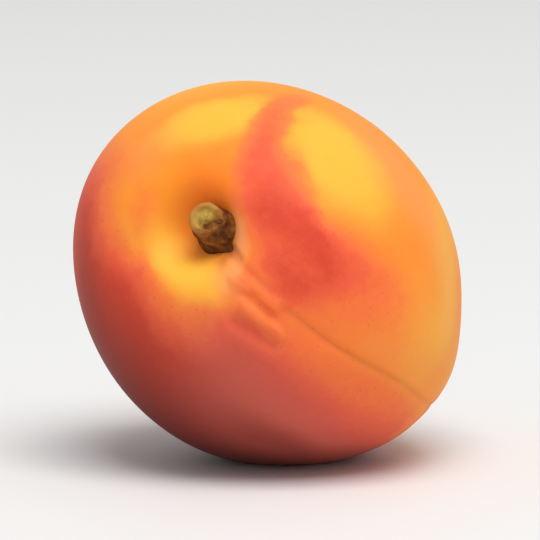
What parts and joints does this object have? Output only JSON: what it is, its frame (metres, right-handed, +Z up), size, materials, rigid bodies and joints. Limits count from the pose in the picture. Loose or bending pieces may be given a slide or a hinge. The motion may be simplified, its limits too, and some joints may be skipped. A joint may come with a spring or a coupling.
{
  "type": "apricot",
  "caption": "Ripe apricot lying on one cheek, with a stalk hollow, a shallow seam from stalk to tip, and a short ringed stub of stalk.",
  "frame": {"origin": "on the surface that the fruit rests on, under the middle of its box", "axes": "+Z up; the stalk end points to -Y and 22.5 degrees up, and the seam runs down the +X side"},
  "size_m": [0.0488, 0.0512, 0.0473],
  "materials": {
    "skin": "fine short down over a smooth skin, yellow and orange with a red blush",
    "stalk_wood": "dry, rough young wood, ringed by the scars of bud scales, paler at the broken end"
  },
  "bodies": {
    "root": {"fruit": "skin", "stalk_stub": "stalk_wood"}
  },
  "joints": []
}
